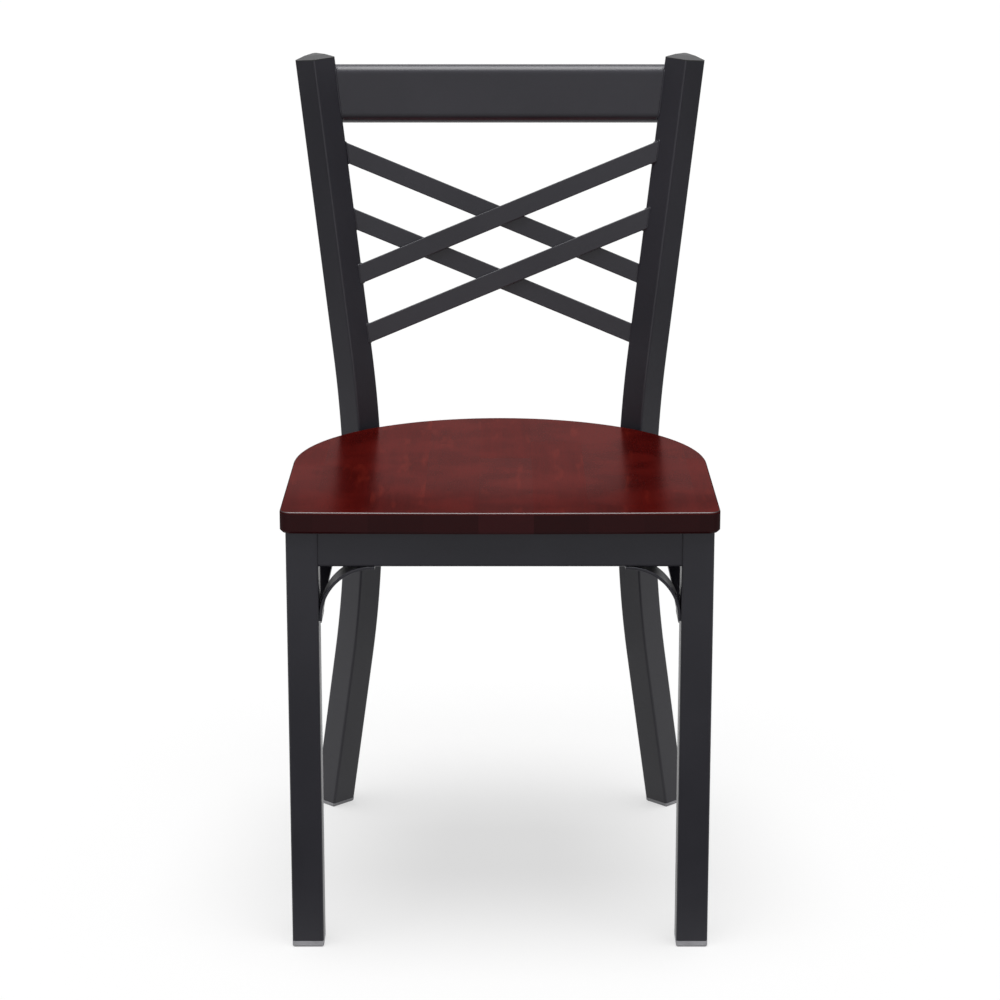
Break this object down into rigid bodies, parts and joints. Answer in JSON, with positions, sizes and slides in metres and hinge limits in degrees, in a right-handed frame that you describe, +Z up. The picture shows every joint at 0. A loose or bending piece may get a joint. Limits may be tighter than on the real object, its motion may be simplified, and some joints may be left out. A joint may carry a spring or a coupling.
{
  "type": "dining chair",
  "caption": "Side chair with a welded square-tube steel frame, crossed flat bars and a top rail in the back, and a round-backed wooden seat on plastic floor glides.",
  "frame": {"origin": "on the floor, under the middle of the chair's box", "axes": "+Z up, the chair faces -Y, +X to the right for someone facing the chair"},
  "size_m": [0.4468, 0.4752, 0.8595],
  "materials": {
    "frame_steel": "black powder coat, satin",
    "seat_wood": "mahogany stain under semi-gloss varnish",
    "glide_plastic": "moulded grey plastic",
    "cap_plastic": "moulded black plastic",
    "screw_steel": "zinc plated"
  },
  "bodies": {
    "root": {"back_bar_front_lower": "frame_steel", "back_bar_front_upper": "frame_steel", "back_bar_rear_lower": "frame_steel", "back_bar_rear_upper": "frame_steel", "corner_brace_left": "frame_steel", "corner_brace_right": "frame_steel", "front_leg_left": "frame_steel", "front_leg_right": "frame_steel", "front_rail": "frame_steel", "glide_front_left": "glide_plastic", "glide_front_right": "glide_plastic", "glide_rear_left": "glide_plastic", "glide_rear_right": "glide_plastic", "rear_rail": "frame_steel", "rear_upright_left": "frame_steel", "rear_upright_right": "frame_steel", "seat_bracket_front_left": "frame_steel", "seat_bracket_front_right": "frame_steel", "seat_bracket_rear_left": "frame_steel", "seat_bracket_rear_right": "frame_steel", "seat_panel": "seat_wood", "seat_screws": "screw_steel", "side_arch_left": "frame_steel", "side_arch_right": "frame_steel", "side_rail_left": "frame_steel", "side_rail_right": "frame_steel", "top_cap_left": "cap_plastic", "top_cap_right": "cap_plastic", "top_rail": "frame_steel"}
  },
  "joints": []
}
